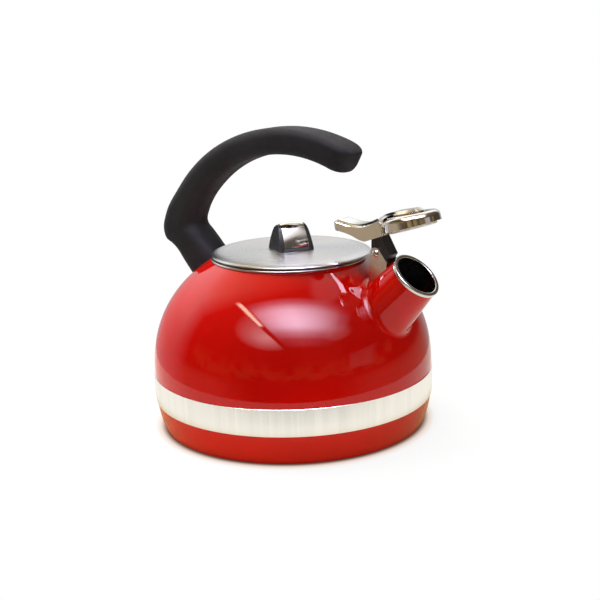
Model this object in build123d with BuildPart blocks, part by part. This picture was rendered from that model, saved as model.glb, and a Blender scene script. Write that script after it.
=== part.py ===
"""Stovetop whistling kettle with a flip-up whistle, a lift-off lid and a one-legged handle.

Millimetres, +Z up, +X towards the spout. The origin is the centre of the flat base.
"""
import os
from math import cos, degrees, radians, sin, sqrt

from build123d import *

os.makedirs("parts", exist_ok=True)

# Body: an enamelled dome and pan that meet under the trim band
body_radius = 99.6
wall = 1.4
base_radius = 91.6
seam_height = 30.6
waist_height = 44.0
shoulder_end = (59.6, 116.3)
collar_radius = 55.2
collar_top = 119.3
foot = (94.9, 2.4)
band_bottom = 21.2
band_top = 40.0
band_thickness = 0.5

# Lid and its opening; the loose lid lies a little to one side in its slack
opening_radius = 52.7
rim_top = 121.0
lid_centre = (1.1, 0.8)
lid_radius = 56.0
lid_crown = 125.2
lid_shoulder = 124.6
lid_sheet = 0.9
skirt_radius = 50.9
skirt_bottom = 113.0

# Knob on the lid, turned about the lid's axis
knob_turn = 60.0
knob_length = 25.5
knob_width = 23.0
knob_height = 18.9
knob_top_length = 20.0
strap_width = 17.2
strap_sheet = 1.2
strap_foot = 2.6
knob_screw_radius = 2.0
knob_screw_depth = 11.0
washer_radius = 7.0
washer_sheet = 1.0

# Spout, straight and slightly tapered
spout_angle = 47.0
mouth_centre = (104.1, 0.0, 116.7)
mouth_radius = 16.9
spout_taper = 0.1
spout_length = 42.0
spout_wall = 1.4
spout_fillet = 6.0
spout_hole_radius = 14.0
rim_radius = 16.25
rim_half_width = 1.35
rim_half_height = 1.4
rim_corner = 0.7

# Whistle hinge and its bracket
hinge = (77.0, 0.0, 130.3)
pin_radius = 1.5
running_gap = 0.05
ear_inner = 5.3
ear_sheet = 1.5
ear_radius = 4.0
ear_front = (84.3, 124.4)
ear_toe = (84.5, 119.0)
ear_heel = (72.0, 109.0)
web_top = 121.5
rivet_head_radius = 2.5
rivet_head_height = 1.2
swing = 58.8

# Whistle cap: the lower rim of its cup stands this far off the mouth when shut
cap_lift = 3.5
cap_radius = 19.5
cap_back_height = 9.9
cap_nose_height = 6.9
cap_wall = 1.6
cap_depth = 5.2
cap_round = 3.8
vent_offset = 12.0
lever_half_width = 8.3
spine_top = 11.8
spine_end = 10.0
spine_drop = 1.4
lever_chamfer = 2.0
cowl_sheet = 1.4
cowl_front = -13.0
lever_foot = -1.4
seal_inner = 12.4
seal_outer = 16.2
seal_top = 0.8
seal_bottom = -1.7
disc_sheet = 0.6
whistle_hole_radius = 1.6
arm_half_width = 5.0
arm_boss_radius = 4.5
arm_top_back = -29.8
arm_top_front = -23.0
arm_toe = (-19.4, -15.5)
arm_heel_front = (6.3, -6.4)
arm_heel_back = (2.2, -8.6)
arm_screw_radius = 1.2

# Handle: a neck that leaves the body at 45 degrees and a grip on one arc over the lid
grip_centre = (2.4, 0.0, 89.4)
grip_radius = 112.0
grip_half = 9.2
outer_swell = 0.0015
inner_swell = 0.001
grip_roundness = 0.85
grip_slim = 92
grip_half_width = 13.6
tip_round = 8.5
neck_angle = 135.0
neck_root = Vector(-66.0, 0.0, 99.1)
neck_half = 15.3
neck_half_width = 14.4
elbow_inside = (-81.8, 137.2)
elbow_heel = (-114.7, 130.9)
stud_radius = 8.0
stud_length = 38.0
stud_flange = 13.0
handle_screw_radius = 2.0
handle_screw_step = 27.0

# Radius of the pan's wall in section, and of the pan itself at the band's lower edge
pan_drop = seam_height - foot[1]
pan_curve = (pan_drop**2 + (body_radius - foot[0]) ** 2) / (2 * (body_radius - foot[0]))
band_bottom_radius = body_radius - pan_curve + sqrt(pan_curve**2 - (seam_height - band_bottom) ** 2)

spout_axis = Vector(cos(radians(spout_angle)), 0, sin(radians(spout_angle)))
mouth_plane = Plane(origin=mouth_centre, x_dir=(0, 1, 0), z_dir=spout_axis)
hinge_point = Vector(*hinge)
neck_axis = Vector(cos(radians(neck_angle)), 0, sin(radians(neck_angle)))


def body_line(inset):
    """Outer line of the dome from the seam to the collar's top, moved in by inset."""
    waist = (body_radius - inset, waist_height)
    end = (shoulder_end[0] - 0.83 * inset, shoulder_end[1] - 0.83 * inset)
    Line((body_radius - inset, seam_height), waist)
    Spline(
        waist,
        (97.3 - 0.98 * inset, 65.0 - 0.2 * inset),
        (89.9 - 0.88 * inset, 84.6 - 0.48 * inset),
        (76.9 - 0.7 * inset, 102.3 - 0.72 * inset),
        end,
        tangents=((0, 1), (-0.83, 0.56)),
    )
    Line(end, (collar_radius - inset, collar_top))


# The closed form of the body, used only to trim what sits on it
with BuildPart() as body_form:
    with BuildSketch(Plane.YZ):
        with BuildLine():
            body_line(0)
            Polyline(
                (collar_radius, collar_top), (0, collar_top), (0, seam_height), (body_radius, seam_height)
            )
        make_face()
    revolve(axis=Axis.Z)

# Upper shell of the body, with the lid opening and the hole under the spout
with BuildPart() as body_dome:
    with BuildSketch(Plane.YZ):
        with BuildLine():
            body_line(0)
            body_line(wall)
            Line((body_radius, seam_height), (body_radius - wall, seam_height))
            Line((collar_radius, collar_top), (collar_radius - wall, collar_top))
        make_face()
    revolve(axis=Axis.Z)
    with BuildSketch(mouth_plane.offset(-spout_length - 20)):
        Circle(spout_hole_radius)
    extrude(amount=spout_length, mode=Mode.SUBTRACT)
body_dome.part.label = "body_dome"
export_step(body_dome.part, "parts/body_dome.step")

# Lower pan of the body, flat underneath to stand on the hob
with BuildPart() as body_pan:
    with BuildSketch(Plane.XZ):
        with BuildLine():
            inner_foot = (foot[0] - wall, foot[1] + 0.5)
            TangentArc((body_radius, seam_height), foot, tangent=(0, -1))
            ThreePointArc(foot, (93.9, 0.75), (base_radius, 0))
            Polyline((base_radius, 0), (0, 0), (0, wall), (base_radius, wall))
            ThreePointArc((base_radius, wall), (92.9, 1.9), inner_foot)
            TangentArc((body_radius - wall, seam_height), inner_foot, tangent=(0, -1))
            Line((body_radius - wall, seam_height), (body_radius, seam_height))
        make_face()
    revolve(axis=Axis.Z)
body_pan.part.label = "body_pan"
export_step(body_pan.part, "parts/body_pan.step")

# Plain metal band that covers the seam and follows the wall
with BuildPart() as trim_band:
    with BuildSketch(Plane.XZ):
        with BuildLine():
            Line((body_radius, band_top), (body_radius, seam_height))
            TangentArc((body_radius, seam_height), (band_bottom_radius, band_bottom), tangent=(0, -1))
            offset(amount=band_thickness, side=Side.LEFT)
        make_face()
    revolve(axis=Axis.Z)
trim_band.part.label = "trim_band"
export_step(trim_band.part, "parts/trim_band.step")

# Steel ring that lines the lid opening and carries the lid
with BuildPart() as opening_rim:
    with BuildSketch(Plane.XZ):
        with BuildLine():
            Polyline(
                (opening_radius, 110.0),
                (collar_radius - wall, 110.0),
                (collar_radius - wall, collar_top),
                (collar_radius + 0.5, collar_top),
                (collar_radius + 0.5, rim_top),
                (opening_radius, rim_top),
                close=True,
            )
        make_face()
    revolve(axis=Axis.Z)
    outer_edges = opening_rim.edges().filter_by(GeomType.CIRCLE).group_by(SortBy.RADIUS)[-1]
    fillet(outer_edges, 0.7)
opening_rim.part.label = "opening_rim"
export_step(opening_rim.part, "parts/opening_rim.step")

lid_section = Plane(origin=(*lid_centre, 0), x_dir=(1, 0, 0), z_dir=(0, -1, 0))
lid_axis = Axis((*lid_centre, 0), (0, 0, 1))
lid_flat = Plane(origin=(*lid_centre, lid_crown))

# Lid: a spun steel disc whose edge is rolled under
with BuildPart() as lid_plate:
    with BuildSketch(lid_section):
        with BuildLine() as lid_line:
            crown = TangentArc((0, lid_crown), (53.6, lid_shoulder), tangent=(1, 0))
            nose = TangentArc(crown @ 1, (lid_radius, 122.9), tangent=crown % 1)
            TangentArc(nose @ 1, (lid_radius - 1.6, 121.5), tangent=nose % 1)
            offset(amount=lid_sheet, side=Side.RIGHT)
        make_face()
    revolve(axis=lid_axis)
    with BuildSketch(lid_flat):
        Circle(knob_screw_radius + 0.2)
    extrude(amount=-5, mode=Mode.SUBTRACT)
lid_plate.part.label = "lid_plate"
export_step(lid_plate.part, "parts/lid_plate.step")

# Skirt spot-welded under the lid, which keeps it in the opening
with BuildPart() as lid_skirt:
    with BuildSketch(lid_section):
        with BuildLine():
            Polyline(
                (skirt_radius - 0.8, skirt_bottom),
                (skirt_radius, skirt_bottom),
                (skirt_radius, lid_shoulder - 0.3),
                (skirt_radius - 7, lid_shoulder - 0.3),
                (skirt_radius - 7, lid_shoulder - 1.7),
                (skirt_radius - 0.8, lid_shoulder - 1.7),
                close=True,
            )
        make_face()
    revolve(axis=lid_axis)
    add(lid_plate.part, mode=Mode.SUBTRACT)
lid_skirt.part.label = "lid_skirt"
export_step(lid_skirt.part, "parts/lid_skirt.step")

knob_along = Vector(cos(radians(knob_turn)), sin(radians(knob_turn)), 0)
knob_across = Vector(-sin(radians(knob_turn)), cos(radians(knob_turn)), 0)
knob_side = Plane(origin=(*lid_centre, lid_crown), x_dir=knob_along, z_dir=-knob_across)
knob_end = Plane(origin=(*lid_centre, lid_crown), x_dir=knob_across, z_dir=knob_along)


def knob_hill(inset):
    """Outline of the knob seen from its end, an arch moved in by inset."""
    foot_half = knob_width / 2 - inset
    with BuildSketch() as hill:
        with BuildLine():
            Line((-foot_half, -0.4), (foot_half, -0.4))
            Bezier((foot_half, -0.4), (0, 2 * (knob_height - inset) + 0.4), (-foot_half, -0.4))
        make_face()
    return hill.sketch


# Bright strap bent over the middle of the knob
with BuildPart() as knob_strap:
    with BuildSketch(knob_end):
        add(knob_hill(0))
        add(knob_hill(strap_sheet), mode=Mode.SUBTRACT)
        with Locations((0, strap_foot)):
            Rectangle(2 * knob_width, 2 * knob_height, align=(Align.CENTER, Align.MIN), mode=Mode.INTERSECT)
    extrude(amount=strap_width / 2, both=True)
knob_strap.part.label = "knob_strap"
export_step(knob_strap.part, "parts/knob_strap.step")

# Moulded knob with a recess for the strap and a blind hole for its screw
with BuildPart() as knob_core:
    with BuildSketch(knob_side):
        with BuildLine():
            Line((-knob_length / 2, -0.4), (knob_length / 2, -0.4))
            Spline(
                (knob_length / 2, -0.4),
                (knob_length / 2 - 1.1, 0.55 * knob_height),
                (knob_top_length / 2, knob_height),
                tangents=((-0.12, 1), (-1, 0.5)),
            )
            Line((knob_top_length / 2, knob_height), (-knob_top_length / 2, knob_height))
            Spline(
                (-knob_top_length / 2, knob_height),
                (1.1 - knob_length / 2, 0.55 * knob_height),
                (-knob_length / 2, -0.4),
                tangents=((-1, -0.5), (-0.12, -1)),
            )
        make_face()
    extrude(amount=knob_width, both=True)
    with BuildSketch(knob_end):
        add(knob_hill(0))
    extrude(amount=knob_length, both=True, mode=Mode.INTERSECT)
    with BuildSketch(knob_end):
        with Locations((0, strap_foot)):
            Rectangle(2 * knob_width, 2 * knob_height, align=(Align.CENTER, Align.MIN))
        add(knob_hill(strap_sheet), mode=Mode.SUBTRACT)
    extrude(amount=strap_width / 2, both=True, mode=Mode.SUBTRACT)
    add(lid_plate.part, mode=Mode.SUBTRACT)
    with BuildSketch(lid_flat.offset(-1)):
        Circle(knob_screw_radius)
    extrude(amount=knob_screw_depth + 1, mode=Mode.SUBTRACT)
knob_core.part.label = "knob_core"
export_step(knob_core.part, "parts/knob_core.step")

# Washer and screw that hold the knob from under the lid
with BuildPart() as knob_washer:
    with BuildSketch(lid_flat.offset(-lid_sheet)):
        Circle(washer_radius)
        Circle(knob_screw_radius, mode=Mode.SUBTRACT)
    extrude(amount=-washer_sheet)
    add(lid_plate.part, mode=Mode.SUBTRACT)
knob_washer.part.label = "knob_washer"
export_step(knob_washer.part, "parts/knob_washer.step")

with BuildPart() as knob_screw:
    with BuildSketch(lid_flat.offset(-lid_sheet - washer_sheet)):
        Circle(knob_screw_radius)
    extrude(amount=knob_screw_depth + lid_sheet + washer_sheet)
    with BuildSketch(lid_flat.offset(-lid_sheet - washer_sheet)):
        Circle(1.8 * knob_screw_radius)
    extrude(amount=-1.2 * knob_screw_radius)
    fillet(knob_screw.faces().sort_by(Axis.Z)[0].edges(), 0.9)
knob_screw.part.label = "knob_screw"
export_step(knob_screw.part, "parts/knob_screw.step")

# The closed form of the spout with its filleted root, used to trim what sits on it
spout_section = Plane(origin=mouth_centre, x_dir=(0, 1, 0), z_dir=Vector(0, 1, 0).cross(spout_axis))
spout_line = Axis(mouth_centre, spout_axis)
root_radius = mouth_radius + spout_taper * spout_length

with BuildPart() as spout_form:
    with BuildSketch(spout_section):
        with BuildLine():
            Polyline(
                (0, -rim_half_height),
                (mouth_radius, -rim_half_height),
                (root_radius, -spout_length),
                (0, -spout_length),
                close=True,
            )
        make_face()
    revolve(axis=spout_line)
    add(body_form.part)
    root_edges = spout_form.edges().filter_by(GeomType.BSPLINE).filter_by_position(Axis.X, 60, 110)
    fillet(root_edges, spout_fillet)
    add(body_form.part, mode=Mode.SUBTRACT)

# Spout tube, welded to the dome with a swept root
with BuildPart() as spout_tube:
    add(spout_form.part)
    with BuildSketch(spout_section):
        with BuildLine():
            Polyline(
                (0, 1),
                (mouth_radius - spout_wall, 1),
                (root_radius - spout_wall, -spout_length),
                (0, -spout_length),
                close=True,
            )
        make_face()
    revolve(axis=spout_line, mode=Mode.SUBTRACT)
spout_tube.part.label = "spout_tube"
export_step(spout_tube.part, "parts/spout_tube.step")

# Rolled steel lip on the mouth of the spout
with BuildPart() as spout_rim:
    with BuildSketch(spout_section):
        with Locations((rim_radius, 0)):
            RectangleRounded(2 * rim_half_width, 2 * rim_half_height, rim_corner)
    revolve(axis=spout_line)
spout_rim.part.label = "spout_rim"
export_step(spout_rim.part, "parts/spout_rim.step")

# Clevis bent from sheet, welded on top of the spout
ear_outer = ear_inner + ear_sheet
with BuildPart() as spout_bracket:
    with BuildSketch(Plane.XZ):
        with Locations((hinge[0], hinge[2])):
            Circle(ear_radius)
        with Locations(ear_front):
            Circle(1.5)
        with Locations(ear_toe, ear_heel):
            Circle(0.8)
        make_hull()
    extrude(amount=ear_outer, both=True)
    with BuildSketch(Plane.XZ):
        with BuildLine():
            Polyline(
                (ear_heel[0] - 6, hinge[2] + 8),
                (ear_heel[0] - 6, web_top),
                (ear_heel[0] + 1.9, web_top),
                (ear_heel[0] + ear_sheet - 0.6, ear_heel[1] - 6),
                (ear_front[0] + 6, ear_heel[1] - 6),
                (ear_front[0] + 6, hinge[2] + 8),
                close=True,
            )
        make_face()
    extrude(amount=ear_inner, both=True, mode=Mode.SUBTRACT)
    with BuildSketch(Plane.XZ):
        with Locations((hinge[0], hinge[2])):
            Circle(pin_radius)
    extrude(amount=ear_outer, both=True, mode=Mode.SUBTRACT)
    add(spout_form.part, mode=Mode.SUBTRACT)
    add(body_form.part, mode=Mode.SUBTRACT)
spout_bracket.part.label = "spout_bracket"
export_step(spout_bracket.part, "parts/spout_bracket.step")

# Rivet through both ears, with a round head at each end
with BuildPart() as hinge_pin:
    with BuildSketch(Plane(origin=hinge, x_dir=(1, 0, 0), z_dir=(0, 0, 1))):
        with BuildLine():
            head_end = ear_outer + rivet_head_height
            TangentArc((0, head_end), (rivet_head_radius, ear_outer), tangent=(1, 0))
            Polyline(
                (rivet_head_radius, ear_outer),
                (pin_radius, ear_outer),
                (pin_radius, -ear_outer),
                (rivet_head_radius, -ear_outer),
            )
            TangentArc((0, -head_end), (rivet_head_radius, -ear_outer), tangent=(1, 0))
            Line((0, -head_end), (0, head_end))
        make_face()
    revolve(axis=Axis(hinge, (0, 1, 0)))
hinge_pin.part.label = "hinge_pin"
export_step(hinge_pin.part, "parts/hinge_pin.step")

# The cap's own frame as photographed, swung open: x forward over the mouth, z out of its top
shut_centre = Vector(*mouth_centre) + spout_axis * cap_lift
open_centre = (shut_centre - hinge_point).rotate(Axis.Y, -swing) + hinge_point
cap_up = spout_axis.rotate(Axis.Y, -swing)
cap_forward = Vector(0, 1, 0).cross(cap_up)
cap_plane = Plane(origin=open_centre, x_dir=cap_forward, z_dir=cap_up)
cap_side = Plane(origin=open_centre, x_dir=cap_forward, z_dir=(0, -1, 0))
hinge_in_cap = ((hinge_point - open_centre).dot(cap_forward), (hinge_point - open_centre).dot(cap_up))


def cap_top(forward):
    """Height of the cup's top at a distance forward of its axis."""
    return cap_back_height + (cap_nose_height - cap_back_height) * (forward + cap_radius) / (2 * cap_radius)


# The closed form of the cup, its top sloping down to the front
with BuildPart() as cap_form:
    with BuildSketch(cap_plane):
        Circle(cap_radius)
    extrude(amount=2 * cap_back_height)
    with BuildSketch(cap_side):
        Polygon(
            (-cap_radius, 0),
            (cap_radius, 0),
            (cap_radius, cap_nose_height),
            (-cap_radius, cap_back_height),
            align=None,
        )
    extrude(amount=2 * cap_radius, both=True, mode=Mode.INTERSECT)
    fillet(cap_form.faces().sort_by(Axis(open_centre, cap_up))[-1].edges(), cap_round)

# Cup of the whistle cap, hollow underneath, with a steam slot in front
with BuildPart() as whistle_cap:
    add(cap_form.part)
    with BuildSketch(cap_plane):
        Circle(cap_radius - cap_wall)
    extrude(amount=cap_depth, mode=Mode.SUBTRACT)
    with BuildSketch(cap_plane):
        with Locations((vent_offset, 0)):
            SlotOverall(9.0, 2.4, rotation=90)
    extrude(amount=cap_back_height, mode=Mode.SUBTRACT)
whistle_cap.part.label = "whistle_cap"
export_step(whistle_cap.part, "parts/whistle_cap.step")

# The lever's cowl: a thin cover round the cup's back, cut away in a sweep at its sides
with BuildPart() as cowl_form:
    with BuildSketch(cap_plane.offset(lever_foot)):
        Circle(cap_radius + cowl_sheet)
    extrude(amount=2 * cap_back_height)
    with BuildSketch(cap_side):
        Polygon(
            (-2 * cap_radius, lever_foot),
            (2 * cap_radius, lever_foot),
            (2 * cap_radius, cap_top(2 * cap_radius) + cowl_sheet),
            (-2 * cap_radius, cap_top(-2 * cap_radius) + cowl_sheet),
            align=None,
        )
    extrude(amount=2 * cap_radius, both=True, mode=Mode.INTERSECT)
    fillet(cowl_form.faces().sort_by(Axis(open_centre, cap_up))[-1].edges(), cap_round + cowl_sheet / 2)
    with BuildSketch(cap_side):
        with BuildLine():
            Polyline((-2 * cap_radius, lever_foot), (cowl_front, lever_foot), (cowl_front, 3.5))
            ThreePointArc((cowl_front, 3.5), (cowl_front + 2.6, 7.6), (-4.0, 10.4))
            Polyline((-4.0, 10.4), (-2 * cap_radius, 14.0), (-2 * cap_radius, lever_foot))
        make_face()
    extrude(amount=2 * cap_radius, both=True, mode=Mode.INTERSECT)

# Screw that holds the hinge block up to the lever
screw_plane = Plane(origin=cap_plane.from_local_coords((-24.6, 0, -13.4)), x_dir=cap_forward, z_dir=cap_up)
with BuildPart() as arm_screw:
    with BuildSketch(screw_plane):
        Circle(arm_screw_radius)
    extrude(amount=15.5)
    with BuildSketch(screw_plane):
        Circle(1.75 * arm_screw_radius)
    extrude(amount=1.4)
arm_screw.part.label = "arm_screw"
export_step(arm_screw.part, "parts/arm_screw.step")

# Thumb lever: a dished rest behind the hinge, a cowl round the cup's back and a spine over its top
with BuildPart() as thumb_lever:
    with BuildSketch(cap_side):
        with BuildLine():
            Polyline((-34.0, 2 * lever_foot), (-cap_radius + 6, lever_foot), (spine_end, lever_foot))
            Polyline((spine_end, lever_foot), (spine_end, spine_top - spine_drop), (-8.0, spine_top))
            rest = Spline(
                (-8.0, spine_top),
                (-20.0, 10.4),
                (-35.5, 9.0),
                (-46.0, 12.6),
                (-54.0, 16.6),
                tangents=((-1, 0.05), (-1, 0.45)),
            )
            Line(rest @ 1, (-57.4, 9.4))
            Spline(
                (-57.4, 9.4),
                (-50.0, 6.8),
                (-42.5, 2.4),
                (-34.0, 2 * lever_foot),
                tangents=((1, -0.2), (1, -0.3)),
            )
        make_face()
    extrude(amount=lever_half_width, both=True)
    with BuildSketch(cap_plane.offset(2 * lever_foot)):
        with Locations((-53.0, lever_half_width - 4.0), (-53.0, 4.0 - lever_half_width)):
            Circle(4.0)
        with Locations((spine_end - lever_half_width, 0)):
            Circle(lever_half_width)
        make_hull()
    extrude(amount=30, mode=Mode.INTERSECT)
    top_faces = thumb_lever.faces().filter_by(lambda face: face.normal_at().dot(cap_up) > 0.7)
    top_edges = [edge for edge in top_faces.edges() if len(top_faces.filter_by(lambda face: edge in face.edges())) == 1]
    chamfer(top_edges, lever_chamfer)
    add(cowl_form.part)
    add(cap_form.part, mode=Mode.SUBTRACT)
    with BuildSketch(cap_plane):
        Circle(cap_radius)
    extrude(amount=2 * lever_foot, mode=Mode.SUBTRACT)
    add(arm_screw.part, mode=Mode.SUBTRACT)
thumb_lever.part.label = "thumb_lever"
export_step(thumb_lever.part, "parts/thumb_lever.step")

# Moulded hinge block between the ears, screwed up into the lever
with BuildPart() as whistle_arm:
    with BuildSketch(cap_side):
        with Locations(hinge_in_cap):
            Circle(arm_boss_radius)
        with BuildLine():
            Polyline(
                (arm_top_back, 0),
                (arm_top_front, 0),
                arm_toe,
                (hinge_in_cap[0] + arm_heel_front[0], hinge_in_cap[1] + arm_heel_front[1]),
                (hinge_in_cap[0] + arm_heel_back[0], hinge_in_cap[1] + arm_heel_back[1]),
                (hinge_in_cap[0] - arm_boss_radius, hinge_in_cap[1]),
                close=True,
            )
        make_face()
        with Locations(hinge_in_cap):
            Circle(pin_radius + running_gap, mode=Mode.SUBTRACT)
    extrude(amount=arm_half_width, both=True)
    add(thumb_lever.part, mode=Mode.SUBTRACT)
    add(arm_screw.part, mode=Mode.SUBTRACT)
    with BuildSketch(screw_plane):
        Circle(1.75 * arm_screw_radius)
    extrude(amount=-8, mode=Mode.SUBTRACT)
whistle_arm.part.label = "whistle_arm"
export_step(whistle_arm.part, "parts/whistle_arm.step")

# Two holed discs held apart by a ring make the note, and a soft ring closes the mouth
with BuildPart() as whistle_seal:
    with BuildSketch(cap_plane.offset(seal_bottom)):
        Circle(seal_outer)
        Circle(seal_inner, mode=Mode.SUBTRACT)
    extrude(amount=seal_top - seal_bottom)
    fillet(whistle_seal.faces().sort_by(Axis(open_centre, cap_up))[0].edges(), 0.6)
whistle_seal.part.label = "whistle_seal"
export_step(whistle_seal.part, "parts/whistle_seal.step")

with BuildPart() as whistle_disc_upper:
    with BuildSketch(cap_plane.offset(seal_top)):
        Circle(cap_radius - cap_wall)
        Circle(whistle_hole_radius, mode=Mode.SUBTRACT)
    extrude(amount=disc_sheet)
whistle_disc_upper.part.label = "whistle_disc_upper"
export_step(whistle_disc_upper.part, "parts/whistle_disc_upper.step")

disc_bottom = seal_bottom + 0.5
with BuildPart() as whistle_disc_lower:
    with BuildSketch(cap_plane.offset(disc_bottom)):
        Circle(seal_inner)
        Circle(whistle_hole_radius, mode=Mode.SUBTRACT)
    extrude(amount=disc_sheet)
whistle_disc_lower.part.label = "whistle_disc_lower"
export_step(whistle_disc_lower.part, "parts/whistle_disc_lower.step")

with BuildPart() as whistle_spacer:
    with BuildSketch(cap_plane.offset(disc_bottom + disc_sheet)):
        Circle(seal_inner)
        Circle(seal_inner - 1.5, mode=Mode.SUBTRACT)
    extrude(amount=seal_top - disc_bottom - disc_sheet)
whistle_spacer.part.label = "whistle_spacer"
export_step(whistle_spacer.part, "parts/whistle_spacer.step")


def grip_section(inner, outer, half_width):
    """One section of the handle between a point under the hand and a point over it."""
    low = Vector(inner[0], 0, inner[1])
    high = Vector(outer[0], 0, outer[1])
    half = (high - low).length / 2
    plane = Plane(origin=(low + high) / 2, x_dir=(0, 1, 0), z_dir=Vector(0, 1, 0).cross(high - low))
    with BuildSketch(plane) as section:
        RectangleRounded(2 * half_width, 2 * half, grip_roundness * min(half_width, half))
    return section.sketch


def on_arc(angle, half):
    """Point at an angle on the grip's arc, moved out by half."""
    reach = grip_radius + half
    return (grip_centre[0] + reach * cos(radians(angle)), grip_centre[2] + reach * sin(radians(angle)))


def on_neck(step, side):
    """Point along the neck's upper line with side 1 or its lower line with side -1."""
    along = neck_root + neck_axis * step + Vector(neck_axis.Z, 0, -neck_axis.X) * side * neck_half
    return (along.X, along.Z)


grip_sections = [
    grip_section(on_neck(0, 1), on_neck(0, -1), neck_half_width),
    grip_section(on_neck(11, 1), on_neck(15, -1), neck_half_width),
    grip_section(on_neck(20, 1), on_neck(31, -1), neck_half_width),
    grip_section(on_neck(28, 1), on_neck(46, -1), neck_half_width),
    grip_section(elbow_inside, elbow_heel, neck_half_width),
]
for angle in (150, 141, 132, 123, 114, 105, 96, 87, 78, 70.5, 65.5):
    swell = max(angle - grip_slim, 0) ** 2
    lean = 5 * max(angle - 123, 0) / 27
    low = on_arc(angle - lean, -grip_half - inner_swell * swell)
    high = on_arc(angle + lean, grip_half + outer_swell * swell)
    grip_sections.append(grip_section(low, high, grip_half_width))
for shrink in (0.93, 0.76, 0.5, 0.25):
    tip_angle = angle - degrees(tip_round * sqrt(1 - shrink**2) / grip_radius)
    low = on_arc(tip_angle, -shrink * grip_half)
    high = on_arc(tip_angle, shrink * grip_half)
    grip_sections.append(grip_section(low, high, shrink * grip_half_width))

# Steel stud welded to the body, which the handle's neck is pushed over
stud_plane = Plane(origin=neck_root, x_dir=(0, 1, 0), z_dir=neck_axis)
with BuildPart() as handle_stud:
    with BuildSketch(stud_plane):
        Circle(stud_radius)
    extrude(amount=stud_length)
    with BuildSketch(stud_plane):
        Circle(stud_radius + 3)
    extrude(amount=stud_flange)
    add(body_form.part, mode=Mode.SUBTRACT)

# Screw put in from the heel, which locks the handle on the stud
heel_plane = Plane(
    origin=neck_root + neck_axis * handle_screw_step, x_dir=(0, 1, 0), z_dir=Vector(0, 1, 0).cross(neck_axis) * -1
)
with BuildPart() as handle_screw:
    with BuildSketch(heel_plane.offset(2)):
        Circle(handle_screw_radius)
    extrude(amount=8)
    with BuildSketch(heel_plane.offset(10)):
        Circle(1.8 * handle_screw_radius)
    extrude(amount=2.2)
handle_screw.part.label = "handle_screw"
export_step(handle_screw.part, "parts/handle_screw.step")

# Handle, one moulding from the neck on the body to the rounded tip over the spout side
with BuildPart() as handle_grip:
    loft(sections=grip_sections)
    add(body_form.part, mode=Mode.SUBTRACT)
    add(handle_stud.part, mode=Mode.SUBTRACT)
    add(handle_screw.part, mode=Mode.SUBTRACT)
    with BuildSketch(heel_plane.offset(10)):
        Circle(1.8 * handle_screw_radius)
    extrude(amount=16, mode=Mode.SUBTRACT)
handle_grip.part.label = "handle_grip"
export_step(handle_grip.part, "parts/handle_grip.step")

with BuildPart() as handle_stud_drilled:
    add(handle_stud.part)
    add(handle_screw.part, mode=Mode.SUBTRACT)
handle_stud_drilled.part.label = "handle_stud"
export_step(handle_stud_drilled.part, "parts/handle_stud.step")
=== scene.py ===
"""Looks of the stovetop whistling kettle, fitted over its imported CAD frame.

Sizes are in millimetres, and each piece is brought to metres as it enters the scene.
The camera, the lights and the floor stand in metres.
"""

from math import asin, cos, hypot, pi, radians, sin, sqrt, tan

import bmesh
import bpy
from mathutils import Matrix, Vector
from mathutils.geometry import interpolate_bezier


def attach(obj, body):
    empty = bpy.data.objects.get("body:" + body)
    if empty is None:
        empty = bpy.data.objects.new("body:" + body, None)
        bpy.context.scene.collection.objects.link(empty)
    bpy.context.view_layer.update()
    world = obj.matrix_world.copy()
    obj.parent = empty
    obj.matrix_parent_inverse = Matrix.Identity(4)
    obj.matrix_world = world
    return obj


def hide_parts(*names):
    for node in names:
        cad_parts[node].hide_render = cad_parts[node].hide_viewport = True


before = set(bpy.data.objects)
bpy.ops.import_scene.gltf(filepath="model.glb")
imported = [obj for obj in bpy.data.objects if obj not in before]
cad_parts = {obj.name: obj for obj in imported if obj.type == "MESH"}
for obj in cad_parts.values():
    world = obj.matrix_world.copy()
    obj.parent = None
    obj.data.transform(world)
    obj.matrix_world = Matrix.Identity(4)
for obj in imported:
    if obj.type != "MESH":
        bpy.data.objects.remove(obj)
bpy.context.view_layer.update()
scene = bpy.context.scene
scene.view_settings.view_transform = "Standard"

# Camera of the photograph: a long lens a little above the lid, to the right of the spout's side.
# It is held with a slight roll, so the kettle leans by about two degrees in the picture.
camera_place = (0.47635, -0.61256, 0.28191)
camera_turn = radians(37.4)
camera_rise = radians(14.084)
camera_roll = radians(-1.867)
focal_length = 67.05
sensor_width = 36
furthest_seen = 20

level_right = Vector((cos(camera_turn), sin(camera_turn), 0))
level_back = Vector((sin(camera_turn), -cos(camera_turn), 0))
camera_back = level_back * cos(camera_rise) + Vector((0, 0, sin(camera_rise)))
level_up = camera_back.cross(level_right)
camera_right = cos(camera_roll) * level_right + sin(camera_roll) * level_up
camera_up = cos(camera_roll) * level_up - sin(camera_roll) * level_right
lens = bpy.data.cameras.new("camera")
lens.sensor_width = sensor_width
lens.lens = focal_length
lens.clip_end = furthest_seen
camera = bpy.data.objects.new("camera", lens)
camera_axes = Matrix((camera_right, camera_up, camera_back)).transposed().to_4x4()
camera.matrix_world = Matrix.Translation(camera_place) @ camera_axes
scene.collection.objects.link(camera)
scene.camera = camera

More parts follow.
